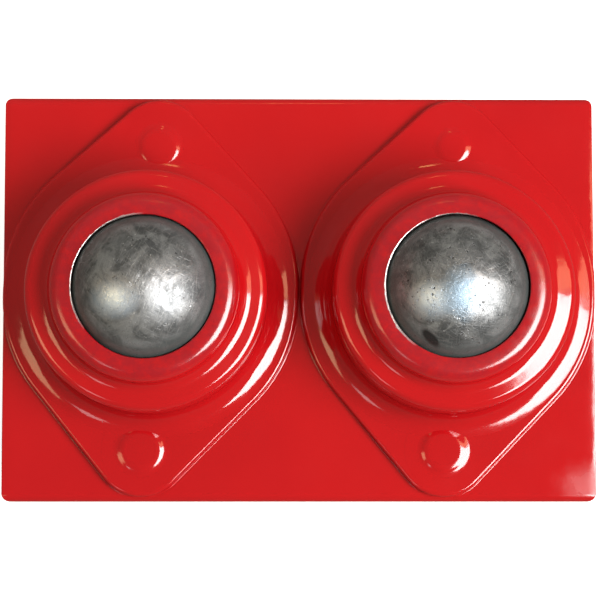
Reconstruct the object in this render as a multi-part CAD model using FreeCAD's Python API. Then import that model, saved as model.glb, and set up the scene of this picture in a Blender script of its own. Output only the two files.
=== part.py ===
import FreeCAD, Part
import math
import os

Vector = FreeCAD.Vector
UP = Vector(0, 0, 1)

# All lengths in mm. The floor is Z = 0, X runs along the row of balls and Y along the pipe.

# Ball unit: the common two-hole flange unit with a 1 inch ball
BALL_D = 25.4
UNIT_PITCH = 52.4
UNIT_HEIGHT = 30.2
FLANGE_WIDTH = 51.8
FLANGE_SIDE = 2.0
FLANGE_TIP_R = 8.1
FLANGE_BACK = 0.5
FLANGE_THICK = 1.6
FLANGE_EDGE_R = 0.9
RIVET_PITCH = 53.6
LEFT_TURN = -3.2
RIGHT_TURN = -2.0

# Housing section of the ball unit
LIP_R = 11.9
LIP_TOP = 22.7
LIP_THICK = 2.1
LIP_EDGE_R = 0.3
COLLAR_R = 16.0
COLLAR_FALL = 0.2
COLLAR_EDGE_R = 2.2
STEP_Z = 17.3
STEP_COVE = 2.2
SHOULDER_R = 20.6
SHOULDER_Z = 16.8
SHOULDER_EDGE_R = 1.4
SHOULDER_FLOOR = 14.9
PRESSING = 1.9
WALL_COVE = 3.7
FOOT_R = 24.9
FOOT_SLOPE = 12.0
RIVET_SEAT_R = 5.1

# Bearing inside the ball unit
SUPPORT_BALL_D = 3.175
SUPPORT_RINGS = 6
SUPPORT_PLAY = 0.05
CUP_WALL = 1.6
CUP_RIM_THICK = 2.0
CUP_PLAY = 0.05
WIPER_GAP = 0.15
WIPER_LOW = 15.4
WIPER_HIGH = 19.6
WIPER_EDGE_R = 0.3

# Rivets
RIVET_R = 2.5
RIVET_HOLE_R = 2.6
RIVET_HEAD_D = 9.8
RIVET_HEAD_H = 1.2
RIVET_RIM_H = 0.15
RIVET_TAIL_D = 8.6
RIVET_TAIL_H = 2.6

# Head plate and its post
PLATE_X = 104.2
PLATE_Y = 71.5
PLATE_THICK = 6.0
PLATE_CORNER = 1.5
PLATE_EDGE_R = 1.3
PLATE_END_R = 0.2
PLATE_BOTTOM = 102.0
INNER_POST_R = 16.85
INNER_POST_WALL = 3.25
HEAD_RIB_THICK = 4.0
HEAD_RIB_DROP = 18.0
HEAD_RIB_REACH_X = 44.0
HEAD_RIB_REACH_Y = 30.0
HEAD_RIB_NOSE = 4.0
RIB_CORNER_R = 1.0
WELD = 3.0

# Outer post with its bush
OUTER_POST_R = 21.2
OUTER_POST_WALL = 3.2
OUTER_POST_TOP = 78.0
POST_RIB_THICK = 5.0
POST_RIB_REACH = 41.0
POST_RIB_HEIGHT = 30.0
POST_RIB_NOSE = 4.0
BUSH_FLANGE = 3.0
BUSH_DEPTH = 12.0
BUSH_PLAY = 0.1
BUSH_OVERHANG = 0.6
GLIDE_FLANGE = 3.0
GLIDE_SPIGOT = 11.0
GLIDE_PLAY = 0.2
PLUG_PLAY = 0.05

# Height lock: an M12 clamp screw with a knob
LOCK_Z = 50.0
LOCK_SCREW_R = 6.0
BOSS_BORE_R = 6.1
BOSS_FLATS = 19.0
BOSS_END = 31.0
LOCK_PAD_R = 4.5
LOCK_PAD_THICK = 2.0
LOCK_TIP_GAP = 0.35
LOCK_SCREW_END = 46.0
KNOB_START = 34.0
KNOB_HUB_R = 11.0
KNOB_HUB_LENGTH = 4.0
KNOB_R = 19.0
KNOB_THICK = 14.0
KNOB_FLUTES = 6
INSERT_R = 8.5

# Base
BASE_X = 124.0
BASE_Y = 68.0
BASE_THICK = 8.0
BASE_CORNER = 10.0
BASE_EDGE_R = 1.2
BOLT_SPACING_X = 104.0
BOLT_SPACING_Y = 46.0
BOLT_HOLE_R = 4.5

BALL_R = BALL_D / 2
BALL_Z = UNIT_HEIGHT - BALL_R
PLATE_TOP = PLATE_BOTTOM + PLATE_THICK
OUTER_BORE_R = OUTER_POST_R - OUTER_POST_WALL
INNER_BORE_R = INNER_POST_R - INNER_POST_WALL
COLLAR_BORE_R = COLLAR_R - PRESSING
WALL_BORE_R = SHOULDER_R - PRESSING
UNITS = {"left": (-UNIT_PITCH / 2, LEFT_TURN), "right": (UNIT_PITCH / 2, RIGHT_TURN)}


def rounded_wire(corners, lift):
    """Closed wire of straight runs with a tangent arc of the given radius at each corner (a, b, radius)."""
    runs = []
    count = len(corners)
    for i, (a, b, radius) in enumerate(corners):
        here = Vector(a, b, 0)
        back = (Vector(corners[i - 1][0], corners[i - 1][1], 0) - here).normalize()
        ahead = (Vector(corners[(i + 1) % count][0], corners[(i + 1) % count][1], 0) - here).normalize()
        half = back.getAngle(ahead) / 2
        start = here + back * (radius / math.tan(half))
        end = here + ahead * (radius / math.tan(half))
        bisector = (back + ahead).normalize()
        middle = here + bisector * (radius / math.sin(half) - radius)
        runs.append((start, middle, end, radius))
    edges = []
    for i, (start, middle, end, radius) in enumerate(runs):
        if radius > 0:
            edges.append(Part.Arc(lift(start), lift(middle), lift(end)).toShape())
        following = runs[(i + 1) % count][0]
        if (following - end).Length > 1e-6:
            edges.append(Part.LineSegment(lift(end), lift(following)).toShape())
    return Part.Wire(edges)


def turned(corners):
    """Solid of revolution about Z from corners (r, z, radius)."""
    section = Part.Face(rounded_wire(corners, lambda p: Vector(p.x, 0, p.y)))
    return section.revolve(Vector(0, 0, 0), UP, 360)


def rounded_block(size_x, size_y, height, corner):
    """Upright block with rounded corners, centred on Z, standing on Z = 0."""
    x, y = size_x / 2, size_y / 2
    corners = [(-x, -y, corner), (x, -y, corner), (x, y, corner), (-x, y, corner)]
    return Part.Face(rounded_wire(corners, lambda p: p)).extrude(Vector(0, 0, height))


def hexagon(flats, length):
    """Hexagonal bar standing on Z = 0."""
    reach = flats / math.sqrt(3)
    turns = [k * math.pi / 3 for k in range(7)]
    points = [Vector(reach * math.cos(turn), reach * math.sin(turn), 0) for turn in turns]
    return Part.Face(Part.makePolygon(points)).extrude(Vector(0, 0, length))


def dome(diameter, height):
    """Spherical cap with its flat side on Z = 0."""
    radius = (diameter ** 2 / 4 + height ** 2) / (2 * height)
    ball = Part.makeSphere(radius, Vector(0, 0, height - radius))
    return ball.common(Part.makeCylinder(diameter, height))


def edges_at(shape, z):
    """Edges that lie in the level plane at height z."""
    return [e for e in shape.Edges if abs(e.BoundBox.ZMin - z) < 1e-4 and abs(e.BoundBox.ZMax - z) < 1e-4]


def moved(shape, x=0.0, y=0.0, z=0.0):
    """Copy of a shape moved by x, y, z."""
    copy = shape.copy()
    copy.translate(Vector(x, y, z))
    return copy


def rotated(shape, axis, angle):
    """Copy of a shape turned about an axis through the origin."""
    copy = shape.copy()
    copy.rotate(Vector(0, 0, 0), axis, angle)
    return copy


def along_x(shape):
    """Copy of an upright shape laid with its top towards +X."""
    return rotated(shape, Vector(0, 1, 0), 90)


def in_unit(shape, side):
    """A shape made about the ball unit's own axis, put in its place on the plate."""
    x, turn = UNITS[side]
    return moved(rotated(shape, UP, turn), x, 0, PLATE_TOP)


def rivet_points():
    """Centres of the four rivets on the plate."""
    points = []
    for x, turn in UNITS.values():
        for end in (-1, 1):
            spot = FreeCAD.Rotation(UP, turn).multVec(Vector(0, end * RIVET_PITCH / 2, 0))
            points.append(spot + Vector(x, 0, 0))
    return points


def flange_wire():
    """Outline of the flange: round sides with a short straight run, and straight tangents to a tip at each end."""
    main_r = FLANGE_WIDTH / 2
    tip_y = RIVET_PITCH / 2
    edges = []
    for sign, waist_y, end_y in ((1, FLANGE_SIDE, tip_y + FLANGE_BACK), (-1, 0, tip_y)):
        lean = math.asin((main_r - FLANGE_TIP_R) / (end_y - waist_y))
        waist = Vector(0, sign * waist_y, 0)
        tip = Vector(0, sign * end_y, 0)
        first = Vector(sign * math.cos(lean), sign * math.sin(lean), 0)
        last = Vector(-first.x, first.y, 0)
        half = Vector(sign * math.cos(lean / 2), sign * math.sin(lean / 2), 0)
        half_last = Vector(-half.x, half.y, 0)
        out = Vector(sign, 0, 0)
        crown = tip + Vector(0, sign * FLANGE_TIP_R, 0)
        waist_end = waist - out * main_r
        next_start = Vector(waist_end.x, FLANGE_SIDE - waist_end.y, 0)
        edges.append(Part.Arc(waist + out * main_r, waist + half * main_r, waist + first * main_r).toShape())
        edges.append(Part.LineSegment(waist + first * main_r, tip + first * FLANGE_TIP_R).toShape())
        edges.append(Part.Arc(tip + first * FLANGE_TIP_R, crown, tip + last * FLANGE_TIP_R).toShape())
        edges.append(Part.LineSegment(tip + last * FLANGE_TIP_R, waist + last * main_r).toShape())
        edges.append(Part.Arc(waist + last * main_r, waist + half_last * main_r, waist_end).toShape())
        edges.append(Part.LineSegment(waist_end, next_start).toShape())
    return Part.Wire(edges)


def housing():
    """Pressed housing: two-hole flange, wall, sloping shoulder, collar and the lip that keeps the ball in."""
    flange = Part.Face(flange_wire()).extrude(Vector(0, 0, FLANGE_THICK))
    flange = flange.makeFillet(FLANGE_EDGE_R, edges_at(flange, FLANGE_THICK))
    foot_rise = (FOOT_R - SHOULDER_R) * math.tan(math.radians(FOOT_SLOPE))
    lip_under = LIP_TOP - LIP_THICK
    shell = turned([
        (LIP_R, LIP_TOP, LIP_EDGE_R),
        (COLLAR_R, LIP_TOP - COLLAR_FALL, COLLAR_EDGE_R),
        (COLLAR_R, STEP_Z, STEP_COVE),
        (SHOULDER_R, SHOULDER_Z, SHOULDER_EDGE_R),
        (SHOULDER_R, FLANGE_THICK + foot_rise, WALL_COVE),
        (FOOT_R, FLANGE_THICK, 0),
        (FOOT_R, 0, 0),
        (WALL_BORE_R, 0, 0),
        (WALL_BORE_R, SHOULDER_FLOOR, 0),
        (COLLAR_BORE_R, SHOULDER_FLOOR, 0),
        (COLLAR_BORE_R, lip_under, 0),
        (LIP_R + 0.8, lip_under, 0),
    ])
    whole = flange.cut(Part.makeCylinder(WALL_BORE_R, FLANGE_THICK)).fuse(shell).removeSplitter()
    for end in (-1, 1):
        spot = Vector(0, end * RIVET_PITCH / 2, 0)
        seat = Part.makeCylinder(RIVET_SEAT_R, WALL_COVE, spot + Vector(0, 0, FLANGE_THICK))
        whole = whole.cut([Part.makeCylinder(RIVET_HOLE_R, FLANGE_THICK, spot), seat])
    return whole


def race_cup():
    """Hemispherical race with a rim held under the shoulder of the housing."""
    race_r = BALL_R + SUPPORT_BALL_D + 2 * SUPPORT_PLAY
    centre = Vector(0, 0, BALL_Z)
    bowl = Part.makeSphere(race_r + CUP_WALL, centre)
    bowl = bowl.common(Part.makeCylinder(WALL_BORE_R, SHOULDER_FLOOR))
    rim_foot = Vector(0, 0, SHOULDER_FLOOR - CUP_RIM_THICK)
    rim = Part.makeCylinder(WALL_BORE_R - CUP_PLAY, CUP_RIM_THICK, rim_foot)
    return bowl.fuse(rim).cut(Part.makeSphere(race_r, centre))


def support_balls():
    """Small balls in rings round the lower half of the load ball."""
    sphere_r = BALL_R + SUPPORT_BALL_D / 2 + SUPPORT_PLAY
    spacing = 1.04 * SUPPORT_BALL_D
    balls = []
    for ring in range(SUPPORT_RINGS):
        lean = ring * spacing / sphere_r
        ring_r = sphere_r * math.sin(lean)
        ring_z = BALL_Z - sphere_r * math.cos(lean)
        count = max(1, int(2 * math.pi * ring_r / spacing))
        for k in range(count):
            turn = 2 * math.pi * k / count
            centre = Vector(ring_r * math.cos(turn), ring_r * math.sin(turn), ring_z)
            balls.append(Part.makeSphere(SUPPORT_BALL_D / 2, centre))
    return Part.makeCompound(balls)


def load_ball():
    """The ball that carries the pipe."""
    return Part.makeSphere(BALL_R, Vector(0, 0, BALL_Z))


def wiper_ring():
    """Felt ring in the collar that keeps dirt off the bearing."""
    ring_r = BALL_R + WIPER_GAP
    return turned([
        (ring_r, WIPER_LOW, WIPER_EDGE_R),
        (COLLAR_BORE_R, WIPER_LOW, 0),
        (COLLAR_BORE_R, WIPER_HIGH, 0),
        (ring_r, WIPER_HIGH, WIPER_EDGE_R),
    ])


def flange_rivets():
    """Round-head rivets through the flanges and the plate, with an upset tail below."""
    shank = Part.makeCylinder(RIVET_R, PLATE_THICK + FLANGE_THICK, Vector(0, 0, -PLATE_THICK))
    head_r = RIVET_HEAD_D / 2
    head = turned([
        (0, FLANGE_THICK, 0),
        (head_r, FLANGE_THICK, 0),
        (head_r, FLANGE_THICK + RIVET_RIM_H, 0.1),
        (0.715 * head_r, FLANGE_THICK + RIVET_HEAD_H, 3.4),
        (0, FLANGE_THICK + RIVET_HEAD_H, 0),
    ])
    tail = moved(rotated(dome(RIVET_TAIL_D, RIVET_TAIL_H), Vector(1, 0, 0), 180), z=-PLATE_THICK)
    rivet = shank.fuse([head, tail])
    return Part.makeCompound([moved(rivet, p.x, p.y, PLATE_TOP) for p in rivet_points()])


def head_plate():
    """Flat plate that carries the ball units, with rolled long edges and short edges just broken."""
    plate = rounded_block(PLATE_X, PLATE_Y, PLATE_THICK, PLATE_CORNER)
    plate = plate.makeFillet(PLATE_END_R, edges_at(plate, 0) + edges_at(plate, PLATE_THICK))
    rolled = rounded_block(PLATE_THICK, PLATE_Y, PLATE_X, PLATE_EDGE_R)
    plate = plate.common(moved(along_x(rolled), x=-PLATE_X / 2, z=PLATE_THICK / 2))
    for p in rivet_points():
        plate = plate.cut(Part.makeCylinder(RIVET_HOLE_R, PLATE_THICK, p))
    return moved(plate, z=PLATE_BOTTOM)


def inner_post():
    """Sliding tube with its weld fillet under the plate."""
    bottom = BASE_THICK + GLIDE_FLANGE
    return turned([
        (INNER_BORE_R, bottom, 0),
        (INNER_POST_R, bottom, 0.6),
        (INNER_POST_R, PLATE_BOTTOM - WELD, 0),
        (INNER_POST_R + WELD, PLATE_BOTTOM, 0),
        (INNER_BORE_R, PLATE_BOTTOM, 0),
    ])


def rib(inside, reach, drop, thick, nose):
    """Upright rib along +X: its top edge on Z = 0, the sloping edge below."""
    corners = [
        (inside, 0, 0),
        (reach, 0, 0),
        (reach, -nose, RIB_CORNER_R),
        (inside + 1.5 * nose, -drop, RIB_CORNER_R),
        (inside, -drop, 0),
    ]
    side = Part.Face(rounded_wire(corners, lambda p: Vector(p.x, -thick / 2, p.y)))
    return side.extrude(Vector(0, thick, 0))


def head_ribs():
    """Four ribs between the plate and the inner post."""
    post = inner_post()
    inside = INNER_POST_R - 1
    ribs = []
    for turn in range(4):
        reach = (HEAD_RIB_REACH_X, HEAD_RIB_REACH_Y)[turn % 2]
        plain = rotated(rib(inside, reach, HEAD_RIB_DROP, HEAD_RIB_THICK, HEAD_RIB_NOSE), UP, 90 * turn)
        ribs.append(moved(plain, z=PLATE_BOTTOM).cut(post))
    return Part.makeCompound(ribs)


def post_glide():
    """Plastic plug in the foot of the inner post that slides in the outer post."""
    spigot_top = BASE_THICK + GLIDE_FLANGE + GLIDE_SPIGOT
    return turned([
        (0, BASE_THICK, 0),
        (OUTER_BORE_R - GLIDE_PLAY, BASE_THICK, 0.8),
        (OUTER_BORE_R - GLIDE_PLAY, BASE_THICK + GLIDE_FLANGE, 0),
        (INNER_BORE_R - PLUG_PLAY, BASE_THICK + GLIDE_FLANGE, 0),
        (INNER_BORE_R - PLUG_PLAY, spigot_top, 1.0),
        (0, spigot_top, 0),
    ])


def outer_post():
    """Fixed tube on the base with its weld fillet and the hole for the lock screw."""
    tube = turned([
        (OUTER_BORE_R, BASE_THICK, 0),
        (OUTER_POST_R + WELD, BASE_THICK, 0),
        (OUTER_POST_R, BASE_THICK + WELD, 0),
        (OUTER_POST_R, OUTER_POST_TOP, 0),
        (OUTER_BORE_R, OUTER_POST_TOP, 0),
    ])
    hole = along_x(Part.makeCylinder(BOSS_BORE_R, OUTER_POST_R))
    return tube.cut(moved(hole, z=LOCK_Z))


def post_ribs():
    """Four ribs on the diagonals between the base and the outer post."""
    post = outer_post()
    plain = rib(OUTER_POST_R - 1, POST_RIB_REACH, POST_RIB_HEIGHT, POST_RIB_THICK, POST_RIB_NOSE)
    plain = moved(rotated(plain, Vector(1, 0, 0), 180), z=BASE_THICK)
    return Part.makeCompound([rotated(plain, UP, turn).cut(post) for turn in (45, 135, 225, 315)])


def guide_bush():
    """Plastic bush in the mouth of the outer post."""
    bore = INNER_POST_R + BUSH_PLAY
    return turned([
        (bore, OUTER_POST_TOP - BUSH_DEPTH, 0),
        (OUTER_BORE_R - PLUG_PLAY, OUTER_POST_TOP - BUSH_DEPTH, 0.3),
        (OUTER_BORE_R - PLUG_PLAY, OUTER_POST_TOP, 0),
        (OUTER_POST_R + BUSH_OVERHANG, OUTER_POST_TOP, 0.4),
        (OUTER_POST_R + BUSH_OVERHANG, OUTER_POST_TOP + BUSH_FLANGE, 1.2),
        (bore, OUTER_POST_TOP + BUSH_FLANGE, 0.6),
    ])


def lock_boss():
    """Long weld nut on the side of the outer post."""
    start = OUTER_POST_R - 1.2
    bar = hexagon(BOSS_FLATS, BOSS_END - start)
    cone_r = BOSS_FLATS / 2 + 0.3
    slope = Part.makeCone(cone_r + BOSS_END - start, cone_r, BOSS_END - start)
    bar = bar.common(slope).cut(Part.makeCylinder(BOSS_BORE_R, BOSS_END))
    bar = moved(along_x(bar), x=start, z=LOCK_Z)
    return bar.cut(Part.makeCylinder(OUTER_POST_R, OUTER_POST_TOP))


def lock_pad():
    """Brass pad on the tip of the lock screw, just short of the inner post."""
    tip = INNER_POST_R + LOCK_TIP_GAP
    pad = turned([
        (0, tip, 0),
        (LOCK_PAD_R, tip, 0.5),
        (LOCK_PAD_R, tip + LOCK_PAD_THICK, 0),
        (0, tip + LOCK_PAD_THICK, 0),
    ])
    return moved(along_x(pad), z=LOCK_Z)


def lock_screw():
    """Clamp screw through the boss into the knob."""
    tip = INNER_POST_R + LOCK_TIP_GAP + LOCK_PAD_THICK
    chamfer = 1.0
    screw = turned([
        (0, tip, 0),
        (LOCK_SCREW_R - chamfer, tip, 0),
        (LOCK_SCREW_R, tip + chamfer, 0),
        (LOCK_SCREW_R, LOCK_SCREW_END - chamfer, 0),
        (LOCK_SCREW_R - chamfer, LOCK_SCREW_END, 0),
        (0, LOCK_SCREW_END, 0),
    ])
    return moved(along_x(screw), z=LOCK_Z)


def knob_insert():
    """Threaded brass insert moulded into the knob."""
    length = LOCK_SCREW_END - KNOB_START
    bush = Part.makeCylinder(INSERT_R, length).cut(Part.makeCylinder(LOCK_SCREW_R, length))
    return moved(along_x(bush), x=KNOB_START, z=LOCK_Z)


def lock_knob():
    """Fluted plastic knob round its insert."""
    body_start = KNOB_START + KNOB_HUB_LENGTH
    end = body_start + KNOB_THICK
    body = turned([
        (0, KNOB_START, 0),
        (KNOB_HUB_R, KNOB_START, 0.6),
        (KNOB_HUB_R, body_start, 1.0),
        (KNOB_R, body_start, 2.0),
        (KNOB_R, end - 1.5, 3.0),
        (KNOB_R / 2, end, 4.0),
        (0, end, 0),
    ])
    flute_r = KNOB_R * 0.36
    reach = KNOB_R * 1.2
    for k in range(KNOB_FLUTES):
        turn = 2 * math.pi * (k + 0.5) / KNOB_FLUTES
        spot = Vector(reach * math.cos(turn), reach * math.sin(turn), KNOB_START)
        body = body.cut(Part.makeCylinder(flute_r, KNOB_THICK + KNOB_HUB_LENGTH, spot))
    bore = Part.makeCylinder(INSERT_R, LOCK_SCREW_END - KNOB_START, Vector(0, 0, KNOB_START))
    return moved(along_x(body.cut(bore)), z=LOCK_Z)


def base_plate():
    """Flat base with rounded corners and four bolt holes."""
    plate = rounded_block(BASE_X, BASE_Y, BASE_THICK, BASE_CORNER)
    plate = plate.makeFillet(BASE_EDGE_R, edges_at(plate, BASE_THICK))
    for x in (-BOLT_SPACING_X / 2, BOLT_SPACING_X / 2):
        for y in (-BOLT_SPACING_Y / 2, BOLT_SPACING_Y / 2):
            plate = plate.cut(Part.makeCylinder(BOLT_HOLE_R, BASE_THICK, Vector(x, y, 0)))
    return plate


def all_nodes():
    """Every sub-part by name, in its place."""
    nodes = {
        "head_plate": head_plate(),
        "head_ribs": head_ribs(),
        "inner_post": inner_post(),
        "post_glide": post_glide(),
        "flange_rivets": flange_rivets(),
        "outer_post": outer_post(),
        "post_ribs": post_ribs(),
        "guide_bush": guide_bush(),
        "lock_boss": lock_boss(),
        "lock_pad": lock_pad(),
        "lock_screw": lock_screw(),
        "knob_insert": knob_insert(),
        "lock_knob": lock_knob(),
        "base_plate": base_plate(),
    }
    for side in UNITS:
        nodes[side + "_housing"] = in_unit(housing(), side)
        nodes[side + "_race_cup"] = in_unit(race_cup(), side)
        nodes[side + "_support_balls"] = in_unit(support_balls(), side)
        nodes[side + "_load_ball"] = in_unit(load_ball(), side)
        nodes[side + "_wiper_ring"] = in_unit(wiper_ring(), side)
    return nodes


os.makedirs("parts", exist_ok=True)
for name, shape in all_nodes().items():
    shape.exportStep("parts/" + name + ".step")
    state = "valid" if shape.isValid() else "BROKEN"
    print(name, len(shape.Solids), "solids", round(shape.Volume), "mm3", state)
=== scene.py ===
# %% [markdown]
# # A pipe stand with two ball units
# The head of this stand is a red plate with two flanged ball units. A pipe lies across the two
# steel balls and rolls in any direction. Below the plate are a telescopic post with a lock knob
# and a plate that bolts down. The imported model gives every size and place. Here each piece that
# shows is modelled again with its rounded edges, weld beads and coats of paint, and put on the
# body that it moves with.

# %% Load the frame
import math

import bmesh
import bpy
from mathutils import Matrix, Vector


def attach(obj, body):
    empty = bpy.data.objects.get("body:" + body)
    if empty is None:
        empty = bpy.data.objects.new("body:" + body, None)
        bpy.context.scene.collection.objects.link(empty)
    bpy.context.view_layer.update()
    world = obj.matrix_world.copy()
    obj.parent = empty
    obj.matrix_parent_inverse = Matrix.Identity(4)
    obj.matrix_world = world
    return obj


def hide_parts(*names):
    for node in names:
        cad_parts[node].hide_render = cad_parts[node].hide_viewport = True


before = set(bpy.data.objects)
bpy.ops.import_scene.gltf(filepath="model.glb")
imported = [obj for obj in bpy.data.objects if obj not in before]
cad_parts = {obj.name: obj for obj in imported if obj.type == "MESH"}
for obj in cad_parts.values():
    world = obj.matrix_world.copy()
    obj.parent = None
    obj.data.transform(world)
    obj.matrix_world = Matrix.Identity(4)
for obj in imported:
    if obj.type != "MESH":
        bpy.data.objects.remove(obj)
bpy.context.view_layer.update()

# %% [markdown]
# ## Tools of the bench
# Most pieces here are turned parts, pressed parts or plate, so a few small tools are enough. One
# selects parts of a mesh by where they are. One draws a section as a thin line and rounds its
# corners with a vertex bevel. One spins that line about the upright axis. Sections are written in
# millimetres, because a drawing would be.

# %% Start a piece, select by place and round
MM = 0.001
NEAR = 0.002 * MM


def start(name):
    """Name the primitive that was just added and open it for editing."""
    piece = bpy.context.object
    piece.name = name
    bpy.ops.object.transform_apply(location=True, rotation=True, scale=True)
    bpy.ops.object.mode_set(mode="EDIT")
    return piece


def select_all():
    """Select everything in the open piece."""
    bpy.ops.mesh.select_all(action="SELECT")


def select(piece, kind, test):
    """Select the vertices, edges or faces of an open piece that pass a test."""
    bpy.ops.mesh.select_mode(type=kind)
    bpy.ops.mesh.select_all(action="DESELECT")
    mesh = bmesh.from_edit_mesh(piece.data)
    mesh.normal_update()
    parts = {"VERT": mesh.verts, "EDGE": mesh.edges, "FACE": mesh.faces}[kind]
    found = [part for part in parts if test(part)]
    for part in found:
        part.select_set(True)
    bmesh.update_edit_mesh(piece.data)
    return len(found)


def level(edge, z):
    """True for an edge that lies at one height."""
    return all(abs(corner.co.z - z * MM) < NEAR for corner in edge.verts)


def bevel(size, steps, **settings):
    """Round what is selected in the open piece."""
    bpy.ops.mesh.bevel(offset=size * MM, segments=steps, profile=0.5, **settings)


# %% Draw a section and spin it
ROUND_STEPS = 6


def draw_section(name, corners):
    """A line through corners (radius, height, rounding) in the plane y = 0."""
    bpy.ops.mesh.primitive_plane_add(size=MM)
    piece = start(name)
    bpy.ops.mesh.select_mode(type="VERT")
    select_all()
    bpy.ops.mesh.merge(type="CENTER")
    points = [Vector((r, 0, z)) * MM for r, z, rounding in corners]
    bpy.ops.transform.translate(value=points[0])
    for here, there in zip(points, points[1:]):
        bpy.ops.mesh.extrude_region_move(TRANSFORM_OT_translate={"value": there - here})
    for before, here, after, corner in zip(points, points[1:], points[2:], corners[1:]):
        if corner[2]:
            half = (before - here).angle(after - here) / 2
            select(piece, "VERT", lambda v: (v.co - here).length < NEAR)
            bevel(corner[2] / math.tan(half), ROUND_STEPS, affect="VERTICES")
    return piece


def merge_doubles():
    """Make one point of points of the open piece that lie together."""
    select_all()
    bpy.ops.mesh.remove_doubles(threshold=NEAR / 2)


def tidy_shell():
    """Merge the seam of the open piece and point its faces outwards."""
    merge_doubles()
    bpy.ops.mesh.normals_make_consistent(inside=False)


def spin(name, corners, steps=96):
    """A turned piece, left open for more work."""
    piece = draw_section(name, corners)
    select_all()
    bpy.ops.mesh.spin(steps=steps, angle=2 * math.pi, center=(0, 0, 0), axis=(0, 0, 1))
    tidy_shell()
    return piece


# %% Place, copy and join pieces
def close(piece):
    """Leave edit mode with only this piece selected."""
    if piece.mode == "EDIT":
        bpy.ops.object.mode_set(mode="OBJECT")
    bpy.ops.object.select_all(action="DESELECT")
    piece.select_set(True)
    bpy.context.view_layer.objects.active = piece
    return piece


def reopen(piece):
    """Open a piece for editing again."""
    close(piece)
    bpy.ops.object.mode_set(mode="EDIT")


def place(piece, x=0.0, y=0.0, z=0.0, turn=0.0, lean=0.0):
    """Put a piece at x, y, z, leaning about Y, then turned about Z, with its place in its mesh."""
    close(piece)
    piece.rotation_euler = (0, lean, turn)
    piece.location = Vector((x, y, z)) * MM
    bpy.ops.object.transform_apply(location=True, rotation=True, scale=True)
    return piece


def copy(piece, name):
    """A copy with its own mesh."""
    close(piece)
    bpy.ops.object.duplicate(linked=False)
    bpy.context.object.name = name
    return bpy.context.object


def join(pieces, name):
    """Make one piece of several."""
    close(pieces[0])
    for piece in pieces:
        piece.select_set(True)
    bpy.ops.object.join()
    bpy.context.object.name = name
    return bpy.context.object


# %% Cut and finish a piece
SMOOTH_BELOW = math.radians(32)


def use(piece, kind, **settings):
    """Add a modifier with these settings and apply it."""
    close(piece)
    modifier = piece.modifiers.new(kind.lower(), kind)
    for name, value in settings.items():
        setattr(modifier, name, value)
    bpy.ops.object.modifier_apply(modifier=modifier.name)
    return piece


def cylinder(radius, depth, at, vertices=48, turn=(0, 0, 0)):
    """A cylinder round a point."""
    bpy.ops.mesh.primitive_cylinder_add(
        vertices=vertices, radius=radius * MM, depth=depth * MM, location=Vector(at) * MM,
        rotation=turn)
    return bpy.context.object


def combine(piece, tool, operation):
    """Cut a piece with a tool piece, or keep what they share, and throw the tool away."""
    close(tool)
    use(piece, "BOOLEAN", object=tool, operation=operation, solver="EXACT")
    bpy.data.objects.remove(tool)
    return piece


def finish_piece(piece, body, finish, slot, *nodes):
    """Smooth a piece, give it its finish and put it on its body in place of its nodes."""
    close(piece)
    bpy.ops.object.shade_smooth_by_angle(angle=SMOOTH_BELOW)
    piece.data.materials.clear()
    piece.data.materials.append(finish)
    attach(piece, body)
    if nodes:
        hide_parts(*nodes)
    size = [round(side / MM, 1) for side in piece.dimensions]
    print(piece.name, size, "mm", len(piece.data.polygons), "faces on", body)
    return piece


# %% [markdown]
# ## Main places and camera
# The height of the plate, the places of the two units and of their balls come from the packed
# model. The picture looks almost straight down on the head from a hand's breadth in front of it.
# The camera is turned by its own three axes, so that the plate's long edges stay level: a look-at
# turn would roll it.

# %% Main places
PLATE_TOP = 108.0
UNIT_X = 26.2
LIP_TOP = 22.7
COLLAR_TOP = PLATE_TOP + LIP_TOP
BALL_Z = PLATE_TOP + 17.5
# The name of each unit, its place along X and its turn on the plate.
SIDES = (("left", -UNIT_X, math.radians(-3.2)), ("right", UNIT_X, math.radians(-2)))
print("ball centres at", [(x, 0, BALL_Z) for side, x, turn in SIDES])

# %% Camera
CAMERA_SPOT = Vector((-4.864, -36.543, PLATE_TOP + 403.375)) * MM
CAMERA_AIM = Vector((0.153, -0.31, PLATE_TOP)) * MM
CAMERA_LENS, FILM_WIDTH = 137.8, 36
BACK = Vector((0, 1, 0))


def facing(spot, aim, up):
    """Matrix of something at spot that looks along its own -Z at aim, with its top towards up."""
    back = (spot - aim).normalized()
    right = up.cross(back).normalized()
    top = back.cross(right)
    turn = Matrix((right, top, back)).transposed()
    return Matrix.Translation(spot) @ turn.to_4x4()


bpy.ops.object.camera_add()
camera = bpy.context.object
camera.matrix_world = facing(CAMERA_SPOT, CAMERA_AIM, BACK)
camera.data.sensor_width = FILM_WIDTH
camera.data.lens = CAMERA_LENS
camera.data.clip_start = 0.01
bpy.context.scene.camera = camera
print("camera", [round(side / MM, 1) for side in CAMERA_SPOT], "mm, lens", CAMERA_LENS)

# %% [markdown]
# ## Tools for finishes
# A finish is a small graph of shader nodes. These tools add and link a node or two each, so that a
# finish reads as a few lines. They work on the finish that was begun last. Every pattern is laid
# out in millimetres in the space of its piece, so a mark stays where it is when the piece moves.

# %% Nodes and places
def feed(socket, value):
    """Link a socket to an output, or set it to a plain value."""
    if isinstance(value, bpy.types.NodeSocket):
        tree.links.new(value, socket)
    else:
        socket.default_value = value


def node(kind, inputs, **settings):
    """A shader node with its inputs given as plain values or as links."""
    made = tree.nodes.new("ShaderNode" + kind)
    for name, value in settings.items():
        setattr(made, name, value)
    for name, value in inputs.items():
        feed(made.inputs[name], value)
    return made


def new_finish(name):
    """Begin an empty finish, to which all tools add from now on, and give its shader too."""
    global tree
    finish = bpy.data.materials.new(name)
    finish.use_nodes = True
    tree = finish.node_tree
    return finish, tree.nodes["Principled BSDF"]


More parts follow.
